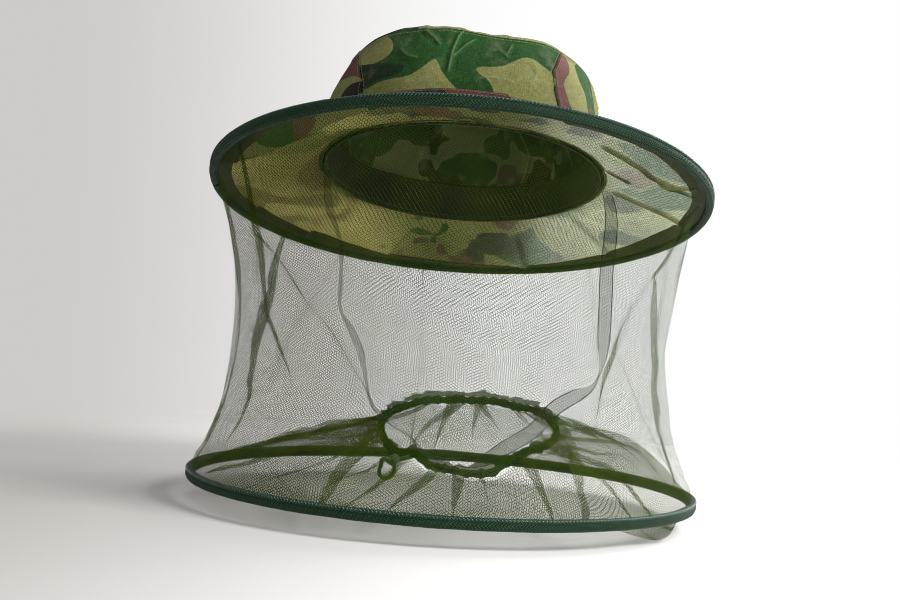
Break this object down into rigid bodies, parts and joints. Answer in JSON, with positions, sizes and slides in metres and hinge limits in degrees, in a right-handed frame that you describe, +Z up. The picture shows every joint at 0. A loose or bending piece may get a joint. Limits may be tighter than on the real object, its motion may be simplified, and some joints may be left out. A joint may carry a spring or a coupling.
{
  "type": "beekeeping veil",
  "caption": "Soft camouflage hat with a wired brim, a net cylinder down to a second wire hoop, a net collar gathered round the neck, and a sheer chin ribbon.",
  "frame": {"origin": "centre of the head opening, at the foot of the hat crown", "axes": "+Z up, -Y towards the wearer's front, +X towards the wearer's left; the lower hoop hangs level and the hat is tipped back 16 degrees about X, as worn"},
  "size_m": [0.36, 0.3667, 0.3226],
  "materials": {
    "camo_cloth": "printed plain-weave cotton, woodland pattern",
    "camo_top": "printed plain-weave cotton, woodland pattern",
    "band_cloth": "printed plain-weave cotton strip, stitched both edges",
    "sweatband_tape": "dark twill tape",
    "brim_cloth": "printed plain-weave cotton, single ply",
    "binding_tape": "dark green twill tape with stitched lip",
    "net_mesh": "hexagonal green mosquito net",
    "neck_hem": "rolled net hem",
    "elastic": "covered elastic",
    "spring_wire": "spring steel wire",
    "ferrule_metal": "crimped sleeve",
    "ribbon_organza": "sheer black ribbon with woven edges"
  },
  "bodies": {
    "hat": {"crown_front_panel": "camo_cloth", "crown_left_panel": "camo_cloth", "crown_back_panel": "camo_cloth", "crown_right_panel": "camo_cloth", "hat_band": "band_cloth", "sweatband": "sweatband_tape", "brim_panel": "brim_cloth", "brim_hoop": "spring_wire", "brim_hoop_ferrule": "ferrule_metal", "brim_binding": "binding_tape"},
    "crown": {"crown_top": "camo_top"},
    "veil": {"veil_net": "net_mesh"},
    "lower_hoop": {"veil_hoop": "spring_wire", "veil_hoop_ferrule": "ferrule_metal", "veil_hoop_binding": "binding_tape", "collar_net": "net_mesh"},
    "neck": {"neck_casing": "neck_hem", "neck_elastic": "elastic", "neck_knot": "elastic"},
    "ribbon": {"chin_ribbon": "ribbon_organza"}
  },
  "joints": [
    {"name": "crown_collapse", "type": "slide", "parent": "hat", "child": "crown", "axis": [0, -0.2756, -0.9613], "range_m": [0, 0.044], "stiffness_N_per_m": 40, "deforming": ["crown_front_panel", "crown_left_panel", "crown_back_panel", "crown_right_panel"]},
    {"name": "veil_lift", "type": "slide", "parent": "hat", "child": "veil", "axis": [0, 0, 1], "range_m": [0, 0.1], "deforming": ["veil_net", "chin_ribbon"]},
    {"name": "veil_tilt", "type": "hinge", "parent": "veil", "child": "lower_hoop", "pos_m": [0, -0.01819, -0.22034], "axis": [1, 0, 0], "range_deg": [-5, 5], "stiffness_Nm_per_rad": 0.5},
    {"name": "neck_slide", "type": "slide", "parent": "lower_hoop", "child": "neck", "axis": [0, 0, 1], "range_m": [-0.05, 0.006], "stiffness_N_per_m": 40, "deforming": ["collar_net"]},
    {"name": "ribbon_swing", "type": "hinge", "parent": "hat", "child": "ribbon", "pos_m": [0, 0, 0], "axis": [1, 0, 0], "range_deg": [-8, 3], "stiffness_Nm_per_rad": 0.02}
  ]
}
